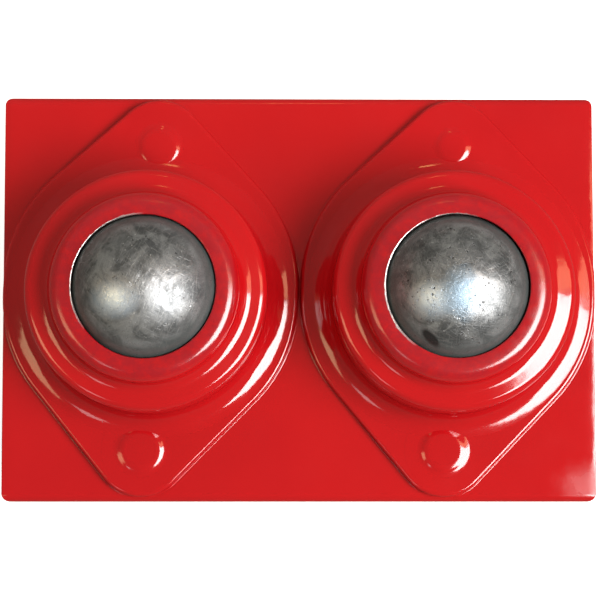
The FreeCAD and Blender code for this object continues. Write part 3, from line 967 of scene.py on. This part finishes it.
# %% Wiper rings
WIPER_R = BALL_R + 0.15
WIPER_FOOT, WIPER_TOP = 15.4, 19.6
wiper = spin("wiper", [
    (collar_bore, WIPER_FOOT, 0),
    (collar_bore, WIPER_TOP, 0),
    (WIPER_R, WIPER_TOP, 0.5),
    (WIPER_R, WIPER_FOOT, 0.5),
    (collar_bore, WIPER_FOOT, 0),
], 120)
rough_r = (collar_bore - 0.1) * MM
select(wiper, "VERT", lambda v: WIPER_R * MM + NEAR < v.co.xy.length < rough_r)
bpy.ops.transform.vertex_random(offset=0.05 * MM, seed=9)
for side, x, turn in SIDES:
    ring_copy = place(copy(wiper, side + "_felt_wiper"), x, 0, PLATE_TOP)
    finish_piece(ring_copy, "head", felt, "wiper_felt", side + "_wiper_ring")
bpy.data.objects.remove(wiper)

# %% [markdown]
# ## Inner post and its ribs
# The head slides on a drawn tube that is zinc plated, so that it runs smoothly in the bush. The
# tube is a spun section. Four ribs brace it under the plate. A rib is cut from flat bar: its
# outline is drawn as a line with rounded corners, filled, pulled out to its thickness, and its
# edges are broken with a small bevel.

# %% Inner post
POST_R, POST_BORE, POST_FOOT = 16.85, 13.6, 11.0
inner_post = spin("zinc_inner_post", [
    (POST_BORE, PLATE_BOTTOM, 0),
    (POST_BORE, POST_FOOT, 0.4),
    (POST_R, POST_FOOT, 0.6),
    (POST_R, PLATE_BOTTOM, 0),
    (POST_BORE, PLATE_BOTTOM, 0),
], 128)
finish_piece(inner_post, "head", *PLATED, "inner_post")

# %% A rib from flat bar
QUARTER = math.pi / 2
RIB_NOSE, RIB_EDGE = 4.0, 0.5


def sharp(edge):
    """True for an edge where two faces meet at a corner."""
    return len(edge.link_faces) == 2 and edge.calc_face_angle() > math.radians(40)


def flat_bar(name, corners, thick):
    """A piece cut from bar: an outline of corners (x, z, rounding), thick across Y."""
    piece = draw_section(name, corners + corners[:1])
    bpy.ops.mesh.select_mode(type="VERT")
    merge_doubles()
    select_all()
    bpy.ops.mesh.edge_face_add()
    bpy.ops.transform.translate(value=(0, -thick / 2 * MM, 0))
    bpy.ops.mesh.extrude_region_move(TRANSFORM_OT_translate={"value": (0, thick * MM, 0)})
    tidy_shell()
    select(piece, "EDGE", sharp)
    bevel(RIB_EDGE, 3)
    return close(piece)


def rib(inside, reach, drop, thick):
    """A rib along +X with its straight edge at Z = 0 and its slope below."""
    slope_end = inside + 1.5 * RIB_NOSE
    corners = [(reach, 0, 0), (reach, -RIB_NOSE, 1), (slope_end, -drop, 1), (inside, -drop, 0)]
    return flat_bar("rib", corners + [(inside, 0, 0)], thick)


# %% Head ribs
HEAD_DROP, HEAD_RIB_THICK = 18.0, 4.0
HEAD_REACH = (44.0, 30.0, 44.0, 30.0)
head_ribs = []
for quarter, reach in enumerate(HEAD_REACH):
    head_ribs.append(rib(POST_R - 1, reach, HEAD_DROP, HEAD_RIB_THICK))
    place(head_ribs[-1], 0, 0, PLATE_BOTTOM, quarter * QUARTER)
finish_piece(join(head_ribs, "painted_head_ribs"), "head", *PAINTED, "head_ribs")

# %% [markdown]
# ## Outer post, bush and foot ribs
# The outer post is a thicker tube, welded upright on the base and painted. A black plastic bush is
# pushed into its mouth, and its collar stands out a little over the tube. The hole for the lock
# screw is bored through one wall, so a cylinder is taken away from the spun tube. Four ribs on the
# diagonals keep the bolt holes clear.

# %% Outer post
OUTER_R, OUTER_BORE = 21.2, 18.0
BASE_TOP, OUTER_TOP = 8.0, 78.0
LOCK_Z, SCREW_HOLE = 50.0, 6.1
LAID = math.pi / 2
outer_post = spin("painted_outer_post", [
    (OUTER_BORE, BASE_TOP, 0),
    (OUTER_R, BASE_TOP, 0),
    (OUTER_R, OUTER_TOP, 0.3),
    (OUTER_BORE, OUTER_TOP, 0.3),
    (OUTER_BORE, BASE_TOP, 0),
], 128)
close(outer_post)
drill = cylinder(SCREW_HOLE, 24, (OUTER_BORE, 0, LOCK_Z), turn=(0, LAID, 0))
combine(outer_post, drill, "DIFFERENCE")
finish_piece(outer_post, "base", *PAINTED, "outer_post")

# %% Guide bush
bush_bore, bush_r, collar_r = POST_R + 0.1, OUTER_BORE - 0.05, OUTER_R + 0.6
bush_foot, collar_foot, collar_top = OUTER_TOP - 12, OUTER_TOP + 0.02, OUTER_TOP + 3
bush = spin("moulded_guide_bush", [
    (bush_bore, bush_foot, 0),
    (bush_r, bush_foot, 0.3),
    (bush_r, collar_foot, 0),
    (collar_r, collar_foot, 0.4),
    (collar_r, collar_top, 1.2),
    (bush_bore, collar_top, 0.6),
    (bush_bore, bush_foot, 0),
], 128)
finish_piece(bush, "base", *MOULDED, "guide_bush")

# %% Foot ribs
FOOT_REACH, FOOT_HEIGHT, FOOT_RIB_THICK = 41.0, 30.0, 5.0
foot_ribs = []
for quarter in range(4):
    foot_ribs.append(rib(OUTER_R - 1, FOOT_REACH, FOOT_HEIGHT, FOOT_RIB_THICK))
    foot_ribs[-1].scale.z = -1
    place(foot_ribs[-1], 0, 0, BASE_TOP, (quarter + 0.5) * QUARTER)
foot_ribs = join(foot_ribs, "painted_foot_ribs")
reopen(foot_ribs)
tidy_shell()
finish_piece(foot_ribs, "base", *PAINTED, "post_ribs")

# %% [markdown]
# ## Base plate
# The base is plate with large corners and four bolt holes. Its top edge is rounded under the
# paint. The holes are four drills taken away from the slab, and their rims get a small countersink
# from a bevel.

# %% Base plate
BASE = Vector((124.0, 68.0, BASE_TOP))
BASE_CORNER, BASE_EDGE, HOLE_EDGE = 10, 1.2, 0.4
BOLT_X, BOLT_Y, BOLT_R = 52.0, 23.0, 4.5


def hole_rim(edge):
    """True for an edge of a bolt hole at the top of the base."""
    middle = (edge.verts[0].co + edge.verts[1].co) / 2 / MM
    away = math.hypot(abs(middle.x) - BOLT_X, abs(middle.y) - BOLT_Y)
    return level(edge, BASE_TOP) and away < BOLT_R + 0.1


base = slab("painted_base_plate", BASE, 0, BASE_CORNER)
select(base, "EDGE", lambda e: level(e, BASE_TOP))
bevel(BASE_EDGE, 5)
close(base)
for x in (-BOLT_X, BOLT_X):
    for y in (-BOLT_Y, BOLT_Y):
        combine(base, cylinder(BOLT_R, 20, (x, y, BASE_TOP / 2)), "DIFFERENCE")
reopen(base)
print("hole rims", select(base, "EDGE", hole_rim), "edges")
bevel(HOLE_EDGE, 2)
finish_piece(base, "base", *PAINTED, "base_plate")

# %% [markdown]
# ## Weld beads
# Ribs, tubes and plates are joined by a hand-laid weld, which leaves a row of overlapping scales.
# Each scale is a small ball at the inner corner of the joint, half sunk in both parts. A voxel
# remesh melts the row into one skin, and a little smoothing leaves the scales as the soft ripples
# that show through paint.

# %% Lay weld beads
WELD_STEP, WELD_SIZE, WELD_SKIN = 2.1, 1.9, 0.5


def straight(first, last):
    """Points along a straight joint."""
    first, last = Vector(first), Vector(last)
    count = max(2, round((last - first).length / WELD_STEP))
    return [first.lerp(last, k / (count - 1)) for k in range(count)]


def ring(radius, z):
    """Points along a round joint about the post."""
    count = round(2 * math.pi * radius / WELD_STEP)
    turns = [2 * math.pi * k / count for k in range(count)]
    return [Vector((radius * math.cos(turn), radius * math.sin(turn), z)) for turn in turns]


def weld(name, points):
    """One skin of weld through the points."""
    piece = None
    for point in points:
        bpy.ops.mesh.primitive_uv_sphere_add(
            segments=10, ring_count=6, radius=WELD_SIZE * MM, location=point * MM)
        piece = piece or start(name)
    close(piece)
    use(piece, "REMESH", mode="VOXEL", voxel_size=WELD_SKIN * MM)
    use(piece, "SMOOTH", factor=0.5, iterations=2)
    print(name, len(points), "scales")
    return piece


# %% Welds of the head and of the base
WELD_OUT = 0.5


def rib_joints(inside, reach, drop, thick):
    """Points along both sides of a rib on +X, on its flat side at Z = 0 and along the post."""
    points = []
    for side in (-thick / 2, thick / 2):
        points += straight((inside, side, 0), (reach - 1, side, 0))
        points += straight((inside, side, 0), (inside, side, drop))
    return points


def post_joints(radius, z, reaches, drop, thick, first):
    """Points round the end of a post at a height and along its ribs, from the quarter first on."""
    points = ring(radius + WELD_OUT, math.copysign(WELD_OUT, drop))
    for quarter, reach in enumerate(reaches):
        turn = Matrix.Rotation((quarter + first) * QUARTER, 3, "Z")
        points += [turn @ point for point in rib_joints(radius, reach, drop, thick)]
    return [point + Vector((0, 0, z)) for point in points]


joints = post_joints(POST_R, PLATE_BOTTOM, HEAD_REACH, 1 - HEAD_DROP, HEAD_RIB_THICK, 0)
finish_piece(weld("painted_head_welds", joints), "head", *PAINTED)
joints = post_joints(OUTER_R, BASE_TOP, [FOOT_REACH] * 4, FOOT_HEIGHT - 1, FOOT_RIB_THICK, 0.5)
finish_piece(weld("painted_base_welds", joints), "base", *PAINTED)

# %% [markdown]
# ## Lock boss
# The screw that locks the height runs in a long hexagon nut, welded to the side of the post. Its
# outer end is turned to a cone, which leaves the curved edges that every nut has. So a six-sided
# bar is cut by a spun cone, and the bore is drilled after that. Everything along X is made upright
# and laid down at the end.

# %% Lock boss
BOSS_FLATS, BOSS_START, BOSS_END = 19.0, 20.0, 31.0
BOSS_EDGE = 0.25
boss_long = BOSS_END - BOSS_START
boss_middle = (0, 0, (BOSS_START + BOSS_END) / 2)
cylinder(BOSS_FLATS / math.sqrt(3), boss_long, boss_middle, 6, (0, 0, math.pi / 6))
boss = close(start("painted_lock_boss"))
cone = spin("cone", [
    (0, BOSS_START - 1, 0),
    (BOSS_FLATS / 2 + 1.3 + boss_long, BOSS_START - 1, 0),
    (BOSS_FLATS / 2 + 0.3, BOSS_END, 0),
    (0, BOSS_END, 0),
], 96)
combine(boss, cone, "INTERSECT")
combine(boss, cylinder(SCREW_HOLE, 30, boss_middle), "DIFFERENCE")
use(boss, "BEVEL", width=BOSS_EDGE * MM, segments=2, limit_method="ANGLE",
    angle_limit=math.radians(25))
place(boss, 0, 0, LOCK_Z, 0, LAID)
finish_piece(boss, "base", *PAINTED, "lock_boss")

# %% Weld round the boss
BOSS_WELD_R, BOSS_SCALES = 10.3, 32
joints = []
for k in range(BOSS_SCALES):
    turn = 2 * math.pi * k / BOSS_SCALES
    across, height = BOSS_WELD_R * math.sin(turn), BOSS_WELD_R * math.cos(turn)
    joints.append(Vector((math.sqrt(OUTER_R ** 2 - across ** 2), across, LOCK_Z + height)))
finish_piece(weld("painted_boss_weld", joints), "base", *PAINTED)

# %% [markdown]
# ## Lock screw
# An M12 screw of 1.75 mm pitch. Its thread is a ridge that winds round the core. The Screw
# modifier sweeps a small ridge section up and round, and the two ends of that ridge are filled.
# The core is a spun rod with its ends chamfered.

# %% Lock screw
SCREW_R, SCREW_TIP, SCREW_END, PITCH = 6.0, 19.2, 46.0, 1.75
CHAMFER = 0.6
core_r = SCREW_R - 0.95
core = spin("screw_core", [
    (0, SCREW_TIP, 0),
    (core_r - CHAMFER, SCREW_TIP, 0),
    (core_r, SCREW_TIP + CHAMFER, 0),
    (core_r, SCREW_END - CHAMFER, 0),
    (core_r - CHAMFER, SCREW_END, 0),
    (0, SCREW_END, 0),
], 48)
close(core)
thread_start = SCREW_TIP + 1.0
thread_r = core_r - 0.2
turns = int((SCREW_END - 1.0 - PITCH - thread_start) / PITCH)
thread = draw_section("screw_thread", [
    (thread_r, thread_start, 0),
    (SCREW_R, thread_start + 0.42 * PITCH, 0),
    (SCREW_R, thread_start + 0.54 * PITCH, 0),
    (thread_r, thread_start + 0.96 * PITCH, 0),
    (thread_r, thread_start, 0),
])
merge_doubles()
use(thread, "SCREW", screw_offset=PITCH * MM, iterations=turns, steps=32, render_steps=32)
reopen(thread)
select_all()
bpy.ops.mesh.fill_holes(sides=0)
tidy_shell()
close(thread)
screw = place(join([core, thread], "plated_lock_screw"), 0, 0, LOCK_Z, 0, LAID)
finish_piece(screw, "lock", *PLATED, "lock_screw")
print("thread turns", turns)

# %% [markdown]
# ## Lock knob
# The knob is moulded in black plastic round a brass insert. Six finger flutes are cut in its rim,
# and each edge is rounded, because a mould has no sharp corners and a hand must turn it. The body
# is spun, the flutes are six cylinders taken away, and one bevel by angle rounds the edges that
# they leave.

# %% Lock knob
KNOB_R, KNOB_START, KNOB_BODY, KNOB_END = 19.0, 34.0, 38.0, 52.0
HUB_R, INSERT_R, INSERT_END = 11, 8.5, 46.0
FLUTES, FLUTE_R, FLUTE_REACH = 6, 0.36 * KNOB_R, 1.2 * KNOB_R
KNOB_EDGE = 0.7
knob = spin("moulded_lock_knob", [
    (0, INSERT_END, 0),
    (INSERT_R, INSERT_END, 0),
    (INSERT_R, KNOB_START, 0),
    (HUB_R, KNOB_START, 0.6),
    (HUB_R, KNOB_BODY, 1.0),
    (KNOB_R, KNOB_BODY, 2.0),
    (KNOB_R, KNOB_END - 1.5, 3.0),
    (KNOB_R / 2, KNOB_END, 4.0),
    (0, KNOB_END, 0),
], 120)
close(knob)
for k in range(FLUTES):
    turn = (k + 0.5) * 2 * math.pi / FLUTES
    flute_at = (FLUTE_REACH * math.cos(turn), FLUTE_REACH * math.sin(turn), KNOB_BODY + 5)
    combine(knob, cylinder(FLUTE_R, 40, flute_at, 64), "DIFFERENCE")
use(knob, "BEVEL", width=KNOB_EDGE * MM, segments=3, limit_method="ANGLE",
    angle_limit=math.radians(35))
place(knob, 0, 0, LOCK_Z, 0, LAID)
finish_piece(knob, "lock", *MOULDED, "lock_knob")

# %% [markdown]
# ## Pieces that stay as they are
# The race cups, the support balls, the glide, the pad and the insert are plain ground or turned
# shapes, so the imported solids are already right. They only get their finish, in place of the plain
# colour of the frame.

# %% Finish of the kept pieces
KEPT = {
    "left_race_cup": ground_steel, "left_support_balls": ground_steel,
    "right_race_cup": ground_steel, "right_support_balls": ground_steel,
    "post_glide": plastic, "lock_pad": brass, "knob_insert": brass,
}
for name, finish in KEPT.items():
    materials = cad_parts[name].data.materials
    materials.clear()
    materials.append(finish)
print("kept pieces", len(KEPT))
